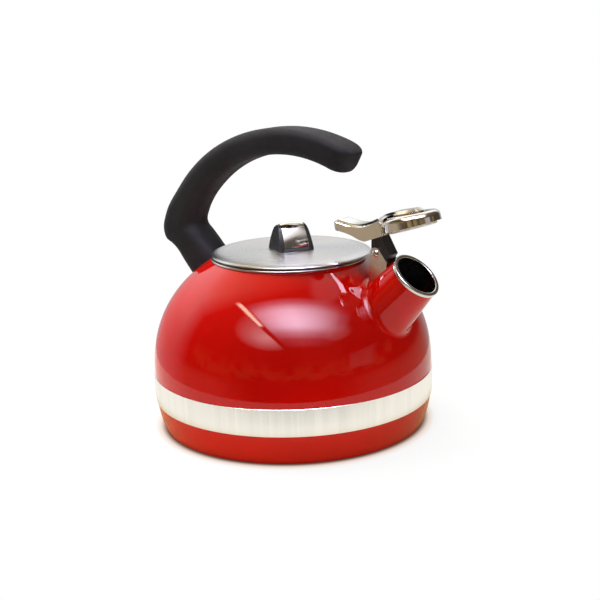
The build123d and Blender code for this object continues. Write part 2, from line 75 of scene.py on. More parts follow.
# Studio: a white sweep behind the kettle, and a dim room with a table on the camera's side.
# The enamel and the chrome show them. Seen directly, the surroundings are plain white.
# Tones run by height, with 0.5 level with the eye and 1 straight up.
white = (1.0, 1.0, 1.0)
table_tones = ((0.43, (0.42, 0.33, 0.235)), (0.465, (0.33, 0.255, 0.175)), (0.5, (0.06, 0.048, 0.036)))
room_tones = ((0.5, (0.075, 0.058, 0.042)), (0.62, (0.06, 0.048, 0.038)), (0.95, (0.16, 0.14, 0.11)))
sweep_tones = (
    (0.5, 0.5),
    (0.6, 0.75),
    (0.68, 1.2),
    (0.78, 1.7),
    (0.86, (1.4, 1.25, 1.0)),
    (0.97, (0.85, 0.68, 0.45)),
)
room_edge = ((0.16, 0.0), (0.29, 1.0))
room_lean_right = 0.17
room_lean_front = -0.47
room_top = 0.55
room_top_lean = -0.5
front_edge = ((0.7, 0.0), (0.9, 1.0))
table_edge = ((0.49, 0.0), (0.52, 1.0))


def join(tree, kind, links=(), **values):
    """Adds a shader node with values on its properties or sockets, and links outputs to its inputs."""
    node = tree.nodes.new(kind)
    for name, value in values.items():
        if hasattr(node, name):
            setattr(node, name, value)
        else:
            node.inputs[name.replace("_", " ")].default_value = value
    for output, socket in links:
        tree.links.new(output, node.inputs[socket])
    return node


def ramp(tree, source, *stops):
    """Colour ramp over source, with stops of a place and a grey or a colour."""
    node = join(tree, "ShaderNodeValToRGB", [(source, "Fac")])
    while len(node.color_ramp.elements) < len(stops):
        node.color_ramp.elements.new(0.5)
    for element, (place, colour) in zip(node.color_ramp.elements, stops):
        element.position = place
        element.color = (*colour, 1) if isinstance(colour, tuple) else (colour, colour, colour, 1)
    return node.outputs["Color"]


def sum_up(tree, kind, first, second, third=None):
    """Arithmetic on two or three outputs or numbers."""
    node = join(tree, "ShaderNodeMath", operation=kind)
    for socket, value in zip(node.inputs, (first, second, third)):
        if isinstance(value, (int, float)):
            socket.default_value = value
        elif value is not None:
            tree.links.new(value, socket)
    return node.outputs[0]


def blend(tree, share, first, second):
    """Mixes two colours or colour outputs by share."""
    node = join(tree, "ShaderNodeMix", [(share, "Factor")], data_type="RGBA")
    for socket, value in ((node.inputs[6], first), (node.inputs[7], second)):
        if isinstance(value, tuple):
            socket.default_value = (*value, 1)
        else:
            tree.links.new(value, socket)
    return node.outputs[2]


world = bpy.data.worlds.new("studio")
scene.world = world
world.use_nodes = True
sky = world.node_tree
sky.nodes.clear()
look = join(sky, "ShaderNodeTexCoord").outputs["Generated"]
turned = join(sky, "ShaderNodeVectorRotate", [(look, "Vector")], rotation_type="Z_AXIS", Angle=-camera_turn)
across, away, rise = join(sky, "ShaderNodeSeparateXYZ", [(turned.outputs[0], 0)]).outputs
level = sum_up(sky, "MULTIPLY_ADD", rise, 0.5, 0.5)
frontward = sum_up(sky, "MULTIPLY_ADD", away, room_lean_front, 0.5)
sideward = sum_up(sky, "MULTIPLY_ADD", across, room_lean_right, frontward)
over_room = sum_up(sky, "MAXIMUM", sum_up(sky, "SUBTRACT", rise, room_top), 0.0)
in_room = ramp(sky, sum_up(sky, "MULTIPLY_ADD", over_room, room_top_lean, sideward), *room_edge)
in_front = ramp(sky, sum_up(sky, "MULTIPLY_ADD", away, -0.5, 0.5), *front_edge)
room = ramp(sky, level, *room_tones)
table = blend(sky, ramp(sky, level, *table_edge), ramp(sky, level, *table_tones), room)
sweep = ramp(sky, level, *sweep_tones)
surroundings = blend(sky, in_room, sweep, blend(sky, in_front, table, room))

# Lights: a slanted window overhead with a thin warm tube beside it and soft glows round them.
# They lie on a flat ceiling at height 1, and only gloss shows them.
# Three soft boxes, which gloss doesn't show, give the plain light.
least_rise = 0.05
pane_light = (17.0, 16.6, 21.5)
pane_slant = 0.267
pane_left = -0.62
pane_scale = 0.6
pane_wide = (
    (0.0, 0.0),
    (0.03, 0.4),
    (0.2, 0.85),
    (0.31, 1.0),
    (0.44, 0.76),
    (0.58, 0.46),
    (0.75, 0.11),
    (0.9, 0.0),
)
pane_deep = (
    (0.05, 0.0),
    (0.3, 0.07),
    (0.425, 0.35),
    (0.54, 0.95),
    (0.62, 1.0),
    (0.71, 0.8),
    (0.79, 0.18),
    (0.85, 0.0),
)
tube_light = (18.0, 17.0, 13.0)
tube_gap = 0.036
tube_wide = ((0.018, 1.0), (0.042, 0.0))
tube_deep = ((0.555, 0.0), (0.585, 1.0), (0.86, 0.9), (0.92, 0.0))
haze_light = (7.0, 6.2, 6.4)
haze_edge = ((0.06, 0.0), (0.1, 1.0))
wash_light = (0.72, 0.7, 0.7)
window_light = (0.36, 0.34, 0.35)
window_wide = ((0.7, 0.0), (0.74, 1.0), (0.9, 1.0), (0.94, 0.0))
window_tall = ((0.06, 0.0), (0.09, 1.0), (0.27, 1.0), (0.31, 0.0))
clutter_light = (0.3, 0.21, 0.07)
clutter_shape = ((0.45, 0.0), (0.5, 1.0))
clutter_tall = ((0.49, 0.0), (0.51, 1.0), (0.58, 0.8), (0.66, 0.0))
box_side = 0.8
box_tint = (1, 0.97, 0.93)

steep = sum_up(sky, "MAXIMUM", rise, least_rise)
over_across = sum_up(sky, "DIVIDE", across, steep)
over_away = sum_up(sky, "DIVIDE", away, steep)
slanted = sum_up(sky, "MULTIPLY_ADD", over_away, pane_slant, over_across)
beside = sum_up(sky, "SUBTRACT", slanted, pane_left)
beyond = sum_up(sky, "MULTIPLY_ADD", over_away, 0.5, 0.9)
from_tube = sum_up(sky, "ABSOLUTE", sum_up(sky, "ADD", beside, tube_gap), 0)
near_side = sum_up(sky, "LESS_THAN", away, 0.0)


def glow_spot(place_across, place_away, half_across, half_away, edge):
    """Soft round patch on the ceiling, 1 in its middle and 0 at its edge."""
    right = sum_up(sky, "MULTIPLY_ADD", over_across, 1 / half_across, -place_across / half_across)
    back = sum_up(sky, "MULTIPLY_ADD", over_away, 1 / half_away, -place_away / half_away)
    spot = join(sky, "ShaderNodeCombineXYZ", [(right, 0), (back, 1)])
    reach = join(sky, "ShaderNodeVectorMath", [(spot.outputs[0], 0)], operation="LENGTH").outputs["Value"]
    return ramp(sky, reach, (edge, 1.0), (0.55 + 0.45 * edge, 0.35), (1.0, 0.0))


def product(first, *others):
    """Shares of the sky multiplied with each other."""
    whole = first
    for share in others:
        whole = sum_up(sky, "MULTIPLY", whole, share)
    return whole


pane_across = ramp(sky, sum_up(sky, "MULTIPLY", beside, pane_scale), *pane_wide)
pane = product(pane_across, ramp(sky, beyond, *pane_deep))
tube = product(ramp(sky, from_tube, *tube_wide), ramp(sky, beyond, *tube_deep))
left_of_tube = ramp(sky, sum_up(sky, "MULTIPLY", beside, -1.0), *haze_edge)
haze = product(glow_spot(-0.5, -1.05, 0.7, 0.8, 0.0), left_of_tube)
near_wash = glow_spot(0.95, -0.9, 0.36, 0.42, 0.6)
high_wash = glow_spot(0.38, 0.1, 0.22, 0.36, 0.6)
wash = sum_up(sky, "MAXIMUM", near_wash, high_wash)
window = product(ramp(sky, across, *window_wide), ramp(sky, rise, *window_tall), near_side)
clutter_noise = join(sky, "ShaderNodeTexNoise", [(look, "Vector")], Scale=6.5, Detail=3.0)
clutter_spots = ramp(sky, clutter_noise.outputs["Fac"], *clutter_shape)
clutter = product(clutter_spots, ramp(sky, level, *clutter_tall), near_side)

light_path = join(sky, "ShaderNodeLightPath")
above_floor = sum_up(sky, "GREATER_THAN", rise, -least_rise)
in_gloss = product(above_floor, light_path.outputs["Is Glossy Ray"])
seen = blend(sky, light_path.outputs["Is Camera Ray"], surroundings, white)
studio = join(sky, "ShaderNodeBackground", [(seen, "Color")]).outputs[0]
for share, colour in (
    (pane, pane_light),
    (tube, tube_light),
    (haze, haze_light),
    (wash, wash_light),
    (window, window_light),
    (clutter, clutter_light),
):
    lamp = join(sky, "ShaderNodeBackground", [(product(share, in_gloss), "Strength")], Color=(*colour, 1))
    studio = join(sky, "ShaderNodeAddShader", [(studio, 0), (lamp.outputs[0], 1)]).outputs[0]
join(sky, "ShaderNodeOutputWorld", [(studio, "Surface")])


def soft_box(name, place, aim, watts):
    """Square fill light at place, pointing at aim, which the gloss doesn't show."""
    lamp = bpy.data.lights.new(name, "AREA")
    lamp.shape = "RECTANGLE"
    lamp.size = box_side
    lamp.size_y = box_side
    lamp.energy = watts
    lamp.color = box_tint
    box = bpy.data.objects.new(name, lamp)
    way = Vector(place) - Vector(aim)
    box.matrix_world = Matrix.Translation(place) @ way.to_track_quat("Z", "Y").to_matrix().to_4x4()
    box.visible_glossy = False
    scene.collection.objects.link(box)


soft_box("left_box", (-1.2, -0.7, 0.7), (0, 0, 0.08), 9.5)
soft_box("right_box", (1.2, -0.6, 0.4), (0, 0, 0.08), 9)
soft_box("top_box", (-0.6, 0.0, 1.3), (0, 0, 0.1), 24)

# Floor: a round sheet of white paper under the kettle, with a painted contact shadow, a soft dark line in
# its colour where the base meets it.
# Gloss shows a warm table top there, with painted shade darkening it towards the base. Tones run by the
# distance from the middle of the base.
floor_radius = 0.262
floor_shift = (-0.018, 0.024, 0)
paper_fade = ((0.1, 0.9), (0.15, 1.0))
# Painted contact shadow: the paper's own colour darkens towards the base, both in its matt shading and in
# its glow.
painted_shadow_tones = (
    (0.0935, (0.12, 0.045, 0.03)),
    (0.0955, (0.45, 0.27, 0.21)),
    (0.097, (0.82, 0.66, 0.58)),
    (0.0987, (0.93, 0.86, 0.79)),
    (0.1025, 1.0),
)
# Warm table top seen in gloss. Its dark first stops are painted contact shade at the base.
wood_and_shade_tones = (
    (0.094, (0.1, 0.05, 0.035)),
    (0.0985, (0.5, 0.38, 0.18)),
    (0.12, (0.74, 0.6, 0.36)),
    (0.138, (1.0, 0.96, 0.87)),
)

floor_bm = bmesh.new()
bmesh.ops.create_circle(floor_bm, cap_ends=True, segments=96, radius=floor_radius)
bmesh.ops.translate(floor_bm, vec=floor_shift, verts=floor_bm.verts)
floor_mesh = bpy.data.meshes.new("floor")
floor_bm.to_mesh(floor_mesh)
floor_bm.free()
floor = bpy.data.objects.new("floor", floor_mesh)
scene.collection.objects.link(floor)
paper = bpy.data.materials.new("white_paper")
paper.use_nodes = True
tree = paper.node_tree
tree.nodes.clear()
spot = join(tree, "ShaderNodeTexCoord").outputs["Object"]
reach = join(tree, "ShaderNodeVectorMath", [(spot, 0)], operation="LENGTH").outputs["Value"]
rays = join(tree, "ShaderNodeLightPath").outputs
# The painted shadow colours the matt paper and what the camera sees of the glow.
painted_shadow = ramp(tree, reach, *painted_shadow_tones)
matt = join(tree, "ShaderNodeBsdfDiffuse", [(painted_shadow, "Color")])
plain = blend(tree, rays["Is Camera Ray"], ramp(tree, reach, *wood_and_shade_tones), painted_shadow)
glow = join(tree, "ShaderNodeEmission", [(plain, "Color")], Strength=1)
fade = ramp(tree, reach, *paper_fade)
direct = sum_up(tree, "MULTIPLY_ADD", rays["Is Camera Ray"], fade, rays["Is Glossy Ray"])
sheet = join(tree, "ShaderNodeMixShader", [(direct, 0), (matt.outputs[0], 1), (glow.outputs[0], 2)])
join(tree, "ShaderNodeOutputMaterial", [(sheet.outputs[0], "Surface")])
floor_mesh.materials.append(paper)

# Upper shell of the body: sheet steel spun to a dome and fired with red vitreous enamel.
# It has a rolled collar round the lid opening and a round hole under the spout.
# Inside, the sheet has only the black ground coat of the enamel.
body_radius = 99.6
wall = 1.4
seam_height = 30.6
shoulder_end = (59.6, 116.3)
shoulder_way = (-0.83, 0.56)
collar_radius = 55.2
collar_top = 119.3
dome_points = [(body_radius, 44), (97.3, 65), (89.9, 84.6), (76.9, 102.3), shoulder_end]
dome_middle = Vector((0, 0, 60))
spout_tilt = radians(47)
spout_way = Vector((cos(spout_tilt), 0, sin(spout_tilt)))
mouth_centre = Vector((104.1, 0, 116.7))
spout_hole = 14.0
spout_side = 40
enamel_deep = (0.445, 0.0015, 0.0002)
enamel_bright = (0.505, 0.0022, 0.0004)
coat_black = (0.004, 0.004, 0.005)
coat_grey = (0.012, 0.012, 0.014)


def finish_tree(name):
    """New material: returns it with its node tree, its main shader and the piece's own coordinates."""
    material = bpy.data.materials.new(name)
    material.use_nodes = True
    nodes = material.node_tree
    shader = nodes.nodes["Principled BSDF"]
    place = join(nodes, "ShaderNodeTexCoord").outputs["Object"]
    return material, nodes, shader, place


def grain(tree, place, scale, detail=2.0, roughness=0.5):
    """Noise over the piece, at scale features per metre or with a scale for each axis."""
    if isinstance(scale, tuple):
        place = join(tree, "ShaderNodeMapping", [(place, "Vector")], Scale=scale).outputs[0]
        scale = 1
    return join(
        tree, "ShaderNodeTexNoise", [(place, "Vector")], Scale=scale, Detail=detail, Roughness=roughness
    ).outputs["Fac"]


def vary(tree, shader, socket, source, *stops):
    """Lets a socket of the shader follow source through stops of a place and a grey or a colour."""
    tree.links.new(ramp(tree, source, *stops), shader.inputs[socket])


def relief(tree, shader, source, strength, depth):
    """Fine relief from source on the shader's surface."""
    bump = join(tree, "ShaderNodeBump", [(source, "Height")], Strength=strength, Distance=depth)
    tree.links.new(bump.outputs[0], shader.inputs["Normal"])


enamel, tree, shader, place = finish_tree("enamel")
vary(tree, shader, "Base Color", grain(tree, place, 26, 3.0), (0.3, enamel_deep), (0.7, enamel_bright))
vary(tree, shader, "Roughness", grain(tree, place, 60, 3.0), (0.3, 0.025), (0.75, 0.055))
shader.inputs["IOR"].default_value = 1.42
relief(tree, shader, grain(tree, place, 260, 1.0), 0.012, 0.0004)

ground_coat, tree, shader, place = finish_tree("ground_coat")
vary(tree, shader, "Base Color", grain(tree, place, 400, 3.0), (0.35, coat_black), (0.7, coat_grey))
vary(tree, shader, "Roughness", grain(tree, place, 90, 3.0), (0.3, 0.16), (0.75, 0.3))
relief(tree, shader, grain(tree, place, 320, 1.0), 0.02, 0.0004)


def smooth_line(points, start, end, steps):
    """Points of a smooth curve through points, which leaves and arrives along start and end."""
    places = [Vector((*p, 0)) if len(p) == 2 else Vector(p) for p in points]
    ways = [Vector((*start, 0)) if len(start) == 2 else Vector(start)]
    for before, here, after in zip(places, places[1:], places[2:]):
        a = (here - before).length
        b = (after - here).length
        ways.append((here - before) / a * (b / (a + b)) + (after - here) / b * (a / (a + b)))
    ways.append(Vector((*end, 0)) if len(end) == 2 else Vector(end))
    line = [places[0]]
    for p, q, leave, arrive in zip(places, places[1:], ways, ways[1:]):
        third = (q - p).length / 3
        leaving = p + leave.normalized() * third
        arriving = q - arrive.normalized() * third
        line.extend(interpolate_bezier(p, leaving, arriving, q, steps + 1)[1:])
    return line


def moved_in(line, depth):
    """A line moved sideways by depth, to the left as it runs."""
    moved = []
    for i, here in enumerate(line):
        way = line[min(i + 1, len(line) - 1)] - line[max(i - 1, 0)]
        moved.append(here + Vector((-way.y, way.x, 0)).normalized() * depth)
    return moved


def spun(section, steps=192, centre=(0, 0, 0), axis=(0, 0, 1)):
    """Closed section of (radius, height) points, spun about an axis as on a lathe."""
    bm = bmesh.new()
    side = Vector((0, 1, 0))
    ring = [bm.verts.new(Vector(centre) + side * p.x + Vector(axis) * p.y) for p in section]
    edges = [bm.edges.new(pair) for pair in zip(ring, ring[1:] + ring[:1])]
    bmesh.ops.spin(bm, geom=ring + edges, cent=centre, axis=axis, angle=2 * pi, steps=steps, use_merge=True)
    bmesh.ops.remove_doubles(bm, verts=bm.verts, dist=0.0005)
    bmesh.ops.dissolve_degenerate(bm, dist=0.0005, edges=bm.edges)
    return bm


def drill(bm, off_axis, radius, within):
    """Opens a round hole in the part of a shape that within names, and returns the edges round it."""
    drilled = []
    for face in bm.faces:
        middle = face.calc_center_median()
        if within(middle) and off_axis(middle).length < radius:
            drilled.append(face)
    bmesh.ops.delete(bm, geom=drilled, context="FACES")
    hole_edges = []
    for edge in bm.edges:
        corner = edge.verts[0].co
        if edge.is_boundary and within(corner) and off_axis(corner).length < 2 * radius:
            hole_edges.append(edge)
    for vert in {vert for edge in hole_edges for vert in edge.verts}:
        off = off_axis(vert.co)
        vert.co += off.normalized() * (radius - off.length)
    return hole_edges


def into_scene(bm, name, finish, crease=35):
    """Turns a shape in millimetres into a named piece with its finish, smooth but for its sharp edges."""
    bmesh.ops.recalc_face_normals(bm, faces=bm.faces)
    bmesh.ops.scale(bm, vec=(0.001, 0.001, 0.001), verts=bm.verts)
    mesh = bpy.data.meshes.new(name)
    bm.to_mesh(mesh)
    bm.free()
    mesh.shade_smooth()
    mesh.set_sharp_from_angle(angle=radians(crease))
    mesh.materials.append(finish)
    piece = bpy.data.objects.new(name, mesh)
    scene.collection.objects.link(piece)
    return piece


def line_inside(piece, outward):
    """Gives the faces that look inwards the black ground coat of the enamel."""
    piece.data.materials.append(ground_coat)
    for face in piece.data.polygons:
        face.material_index = 1 if face.normal.dot(outward(face.center * 1000)) < 0 else 0


def from_spout_axis(point):
    """Part of the way from the spout's axis to point that is square to the axis."""
    way = point - mouth_centre
    return way - spout_way * way.dot(spout_way)


dome_line = [Vector((body_radius, seam_height, 0))] + smooth_line(dome_points, (0, 1), shoulder_way, 10)
dome_line += [dome_line[-1].lerp(Vector((collar_radius, collar_top, 0)), k / 5) for k in range(1, 6)]


def dome_radius(height):
    """Outer radius of the dome at a height."""
    for low, high in zip(dome_line, dome_line[1:]):
        if low.y <= height <= high.y:
            return low.x + (high.x - low.x) * (height - low.y) / (high.y - low.y)
    return 0.0


bm = spun(dome_line + moved_in(dome_line, wall)[::-1])
hole_edges = drill(bm, from_spout_axis, spout_hole, lambda point: point.x > spout_side)
bmesh.ops.bridge_loops(bm, edges=hole_edges)
dome = into_scene(bm, "enamel_dome", enamel)
line_inside(dome, lambda point: point - dome_middle)
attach(dome, "kettle")
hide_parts("body_dome")

# Lower pan of the body: pressed from the same sheet and enamelled red, flat underneath for the hob.
# It meets the dome at a seam that the trim band hides.
foot = (94.9, 2.4)
foot_round = (93.9, 0.75)
base_radius = 91.6
base_flat = 60
pan_middle = Vector((0, 0, 30))
pan_drop = seam_height - foot[1]
pan_inset = body_radius - foot[0]
pan_curve = (pan_drop**2 + pan_inset**2) / (2 * pan_inset)


def pan_point(height):
    """Point of the pan's outline at a height between its foot and the seam."""
    return Vector((body_radius - pan_curve + sqrt(pan_curve**2 - (seam_height - height) ** 2), height, 0))


pan_line = [pan_point(foot[1] + pan_drop * k / 12) for k in range(13)]
foot_line = smooth_line([(base_radius, 0), foot_round, foot], (1, 0.12), (0.2, 1), 5)
pan_outside = [Vector((0, 0, 0)), Vector((base_flat, 0, 0))] + foot_line + pan_line[1:]
bm = spun(pan_outside + moved_in(pan_outside, wall)[::-1])
pan = into_scene(bm, "enamel_pan", enamel)
line_inside(pan, lambda point: point - pan_middle)
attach(pan, "kettle")
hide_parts("body_pan")

# Trim band: a plain strip of polished steel, half a millimetre thick, shrunk on over the seam.
# Its edges are turned in, and its brushing runs up and down.
band_bottom = 21.2
band_top = 40.0
band_sheet = 0.5
band_turn_in = 0.12
band_lip_out = Vector((0.14, 0, 0))
band_lip_up = Vector((0, 0.06, 0))
band_grey = (0.89, 0.885, 0.87)
band_pale = (0.94, 0.935, 0.92)

band_steel, tree, shader, place = finish_tree("band_steel")
streaks = grain(tree, place, (170, 170, 3), 3.0, 0.6)
vary(tree, shader, "Base Color", streaks, (0.3, band_grey), (0.7, band_pale))
vary(tree, shader, "Roughness", streaks, (0.3, 0.27), (0.7, 0.22))
shader.inputs["Metallic"].default_value = 1.0
relief(tree, shader, grain(tree, place, (900, 900, 8), 2.0), 0.02, 0.0001)

band_line = [pan_point(band_bottom + (seam_height - band_bottom) * k / 8) for k in range(9)]
band_line += [Vector((body_radius, seam_height + (band_top - seam_height) * k / 4, 0)) for k in range(5)]
band_outside = moved_in(band_line, -band_sheet)
band_outside[0].y += band_turn_in
band_outside[-1].y -= band_turn_in
lower_lip = (band_line[0] + band_outside[0]) / 2 + band_lip_out - band_lip_up
upper_lip = (band_line[-1] + band_outside[-1]) / 2 + band_lip_out + band_lip_up
bm = spun([lower_lip] + band_outside + [upper_lip] + band_line[::-1])
band = into_scene(bm, "steel_band", band_steel, 20)
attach(band, "kettle")
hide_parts("trim_band")

# Ring that lines the lid opening: rolled stainless steel, pressed into the collar.
# Its round outer lip shows as a bright line under the lid.
opening_radius = 52.7
ring_bottom = 110
rim_top = 121.0
ring_lip = 0.85
ring_overhang = 0.3
ring_chamfer = 0.3
lip_middle = collar_radius + ring_overhang - ring_lip
steel_grey = (0.66, 0.64, 0.61)
steel_pale = (0.76, 0.75, 0.73)

plain_steel, tree, shader, place = finish_tree("plain_steel")
vary(tree, shader, "Base Color", grain(tree, place, 220, 3.0), (0.3, steel_grey), (0.7, steel_pale))
vary(tree, shader, "Roughness", grain(tree, place, 400, 3.0), (0.3, 0.14), (0.7, 0.26))
shader.inputs["Metallic"].default_value = 1.0
relief(tree, shader, grain(tree, place, 1400, 2.0), 0.04, 0.0001)

ring_line = [Vector((opening_radius, ring_bottom, 0)), Vector((collar_radius - wall, ring_bottom, 0))]
ring_line += [Vector((collar_radius - wall, collar_top, 0)), Vector((lip_middle, collar_top, 0))]
for k in range(1, 12):
    turn = radians(15 * k - 90)
    lip_height = collar_top + ring_lip + ring_lip * sin(turn)
    ring_line.append(Vector((lip_middle + ring_lip * cos(turn), lip_height, 0)))
ring_line += [Vector((lip_middle, rim_top, 0)), Vector((opening_radius + ring_chamfer, rim_top, 0))]
ring_line.append(Vector((opening_radius, rim_top - ring_chamfer, 0)))
bm = spun(ring_line, 160)
opening_ring = into_scene(bm, "opening_ring", plain_steel, 50)
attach(opening_ring, "kettle")
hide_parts("opening_rim")

# Lid: stainless sheet spun nearly flat, with its edge rolled under and left with lathe brushing.
# The fine rings of the brushing draw light into fans across it. A welded skirt keeps it in place.
lid_centre = (1.1, 0.8, 0)
lid_radius = 56.4
lid_crown = 125.2
lid_hole = 2.2
lid_flat = 46.0
lid_dip = 0.25
lid_fall = 2.35
lid_sheet = 0.9
lid_hem = ((0.1, 0.2), (0.5, 0.32))
lid_steps = 16
lid_grey = (0.56, 0.56, 0.56)
lid_pale = (0.66, 0.66, 0.67)

lid_steel, tree, shader, place = finish_tree("lid_steel")
to_middle = (-lid_centre[0] / 1000, -lid_centre[1] / 1000, 0)
centred = join(tree, "ShaderNodeMapping", [(place, "Vector")], Location=to_middle).outputs[0]
flat = join(tree, "ShaderNodeVectorMath", [(centred, 0)], operation="MULTIPLY")
flat.inputs[1].default_value = (1, 1, 0)
out = join(tree, "ShaderNodeVectorMath", [(flat.outputs[0], 0)], operation="LENGTH").outputs["Value"]
turning = join(tree, "ShaderNodeTexNoise", [(out, "W")], noise_dimensions="1D", Scale=1500, Detail=4)
rings = turning.outputs["Fac"]
vary(tree, shader, "Base Color", rings, (0.3, lid_grey), (0.7, lid_pale))
vary(tree, shader, "Roughness", rings, (0.3, 0.25), (0.7, 0.33))
shader.inputs["Metallic"].default_value = 1.0
shader.inputs["Anisotropic"].default_value = 0.88
shader.inputs["Anisotropic Rotation"].default_value = 0.25
round_lid = join(tree, "ShaderNodeTangent", direction_type="RADIAL", axis="Z")
tree.links.new(round_lid.outputs[0], shader.inputs["Tangent"])
relief(tree, shader, rings, 0.015, 0.00006)

lid_line = []
for k in range(lid_steps + 1):
    radius = lid_hole + (lid_flat - lid_hole) * k / lid_steps
    lid_line.append(Vector((radius, lid_crown - lid_dip * (radius / lid_flat) ** 2, 0)))
lid_shoulder = lid_line[-1]
for k in range(1, lid_steps + 1):
    turn = radians(90 * k / lid_steps)
    fall = Vector(((lid_radius - lid_flat) * sin(turn), -lid_fall * (1 - cos(turn)), 0))
    lid_line.append(lid_shoulder + fall)
lid_edge = lid_line[-1].y
lid_line += [Vector((lid_radius - hem_in, lid_edge - hem_drop, 0)) for hem_in, hem_drop in lid_hem]
bm = spun(lid_line + moved_in(lid_line, -lid_sheet)[::-1], 160, lid_centre)
lid = into_scene(bm, "brushed_lid", lid_steel, 60)
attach(lid, "lid")
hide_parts("lid_plate")


def dress(finish, *nodes):
    """Gives CAD nodes that stay in view their finish."""
    for node in nodes:
        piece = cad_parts[node]
        if not piece.material_slots:
            piece.data.materials.append(finish)
        for slot in piece.material_slots:
            slot.material = finish


dress(lid_steel, "lid_skirt")

# Knob: a black phenolic moulding that leans in on all sides, with a strap of chromed sheet over it.
# A screw with a washer under the lid holds it. The strap lies in a recess of the moulding.
knob_turn = radians(60)
knob_length = 25.5
knob_height = 18.9
knob_top_length = 20.0
knob_end_lean = 1.5
knob_shoulder = radians(28.5)
knob_crown = 5.6
knob_sunk = 0.1
knob_bow = 0.11
knob_edge_round = 0.7
round_above = 0.25
flank_radius = 76.0
strap_width = 19.0
strap_taper = 0.11
strap_sheet = 1.2
strap_foot = 2.6
strap_proud = 0.12
strap_bed = 0.15
strap_edge_round = 0.3
strap_rows = 6
recess_gap = 0.05
recess_foot = strap_foot - 0.2
moulding_black = (0.01, 0.01, 0.0112)
moulding_grey = (0.02, 0.02, 0.022)
chrome_warm = (0.80, 0.77, 0.72)
chrome_pale = (0.86, 0.84, 0.80)
fastener_grey = (0.48, 0.47, 0.45)
fastener_pale = (0.62, 0.61, 0.6)

moulding, tree, shader, place = finish_tree("moulding")
vary(tree, shader, "Base Color", grain(tree, place, 160, 3.0), (0.3, moulding_black), (0.7, moulding_grey))
vary(tree, shader, "Roughness", grain(tree, place, 500, 2.0), (0.3, 0.28), (0.7, 0.4))
relief(tree, shader, grain(tree, place, 2600, 2.0), 0.08, 0.0001)

chrome, tree, shader, place = finish_tree("chrome")
vary(tree, shader, "Base Color", grain(tree, place, 90, 2.0), (0.3, chrome_warm), (0.7, chrome_pale))
vary(tree, shader, "Roughness", grain(tree, place, 300, 3.0), (0.35, 0.09), (0.75, 0.15))
shader.inputs["Metallic"].default_value = 1.0
relief(tree, shader, grain(tree, place, 500, 1.0), 0.008, 0.0002)

fastener, tree, shader, place = finish_tree("fastener")
vary(tree, shader, "Base Color", grain(tree, place, 500, 3.0), (0.3, fastener_grey), (0.7, fastener_pale))
vary(tree, shader, "Roughness", grain(tree, place, 900, 2.0), (0.3, 0.24), (0.7, 0.38))
shader.inputs["Metallic"].default_value = 1.0

knob_along = Vector((cos(knob_turn), sin(knob_turn), 0))
knob_across = Vector((-sin(knob_turn), cos(knob_turn), 0))
knob_foot = Vector((lid_centre[0], lid_centre[1], lid_crown))


def hill(inset, foot_height):
    """Arch of the knob seen from its end as (across, height), moved in by inset, from foot to foot."""
    crown_middle = Vector((0, knob_height - knob_crown, 0))
    slant = Vector((cos(knob_shoulder), sin(knob_shoulder), 0))
    flank_middle = crown_middle - (flank_radius - knob_crown) * slant
    foot_turn = asin((foot_height - flank_middle.y) / (flank_radius - inset))
    half = []
    for middle, radius, low, high, steps in (
        (flank_middle, flank_radius - inset, foot_turn, knob_shoulder, 12),
        (crown_middle, knob_crown - inset, knob_shoulder, pi / 2, 8),
    ):
        turns = [low + (high - low) * k / steps for k in range(steps)]
        half += [middle + radius * Vector((cos(turn), sin(turn), 0)) for turn in turns]
    half.append(Vector((0, knob_height - inset, 0)))
    return half + [Vector((-p.x, p.y, 0)) for p in half[-2::-1]]


def knob_row(bm, outline, along):
    """Outline as a row of points in the knob's own place, leaning in with height at its ends."""
    row = []
    top_lean = (knob_length - knob_top_length) / 2 - knob_end_lean
    for p in outline:
        lean = max(p.y, 0) / knob_height
        if abs(along) < knob_length / 2:
            reach = along * (1 - strap_taper * lean)
        else:
            end = knob_length / 2 - knob_end_lean * lean - top_lean * lean**6
            reach = end if along > 0 else -end
        bowed = p.y * (1 - knob_bow * (2 * reach / knob_length) ** 2)
        row.append(bm.verts.new(knob_foot + knob_across * p.x + Vector((0, 0, bowed)) + knob_along * reach))
    return row


def skinned(bm, rows):
    """Joins rows of points to a skin, closes its two ends and returns the faces there."""
    edges = [[bm.edges.new(pair) for pair in zip(row, row[1:] + row[:1])] for row in rows]
    for low, high in zip(edges, edges[1:]):
        bmesh.ops.bridge_loops(bm, edges=low + high)
    return [bm.faces.new(rows[0]), bm.faces.new(rows[-1])]


bm = bmesh.new()
full = hill(0, -knob_sunk)
recess = [p if p.y < recess_foot else q for p, q in zip(full, hill(strap_sheet, -knob_sunk))]
rows = [knob_row(bm, full, -knob_length), knob_row(bm, full, -strap_width / 2 - recess_gap)]
rows += [knob_row(bm, recess, strap_width * (k / strap_rows - 0.5)) for k in range(strap_rows + 1)]
rows += [knob_row(bm, full, strap_width / 2 + recess_gap), knob_row(bm, full, knob_length)]
rims = []
for edge in [edge for face in skinned(bm, rows) for edge in face.edges]:
    if (edge.verts[0].co.z + edge.verts[1].co.z) / 2 > lid_crown + round_above:
        rims.append(edge)
bmesh.ops.bevel(bm, geom=rims, offset=knob_edge_round, affect="EDGES", segments=3, profile=0.5, material=-1)
knob = into_scene(bm, "knob_moulding", moulding, 40)
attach(knob, "lid")
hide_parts("knob_core")

bm = bmesh.new()
strap_line = hill(-strap_proud, strap_foot) + hill(strap_sheet - strap_bed, strap_foot)[::-1]
strap_reach = strap_width - 2 * recess_gap
rows = [knob_row(bm, strap_line, strap_reach * (k / strap_rows - 0.5)) for k in range(strap_rows + 1)]
caps = skinned(bm, rows)
rims = [edge for edge in bm.edges if sum(face in caps for face in edge.link_faces) == 1]
bmesh.ops.bevel(bm, geom=rims, offset=strap_edge_round, affect="EDGES", segments=2, profile=0.5, material=-1)
strap = into_scene(bm, "knob_strap_sheet", chrome, 40)
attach(strap, "lid")
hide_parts("knob_strap")
dress(fastener, "knob_screw", "knob_washer")

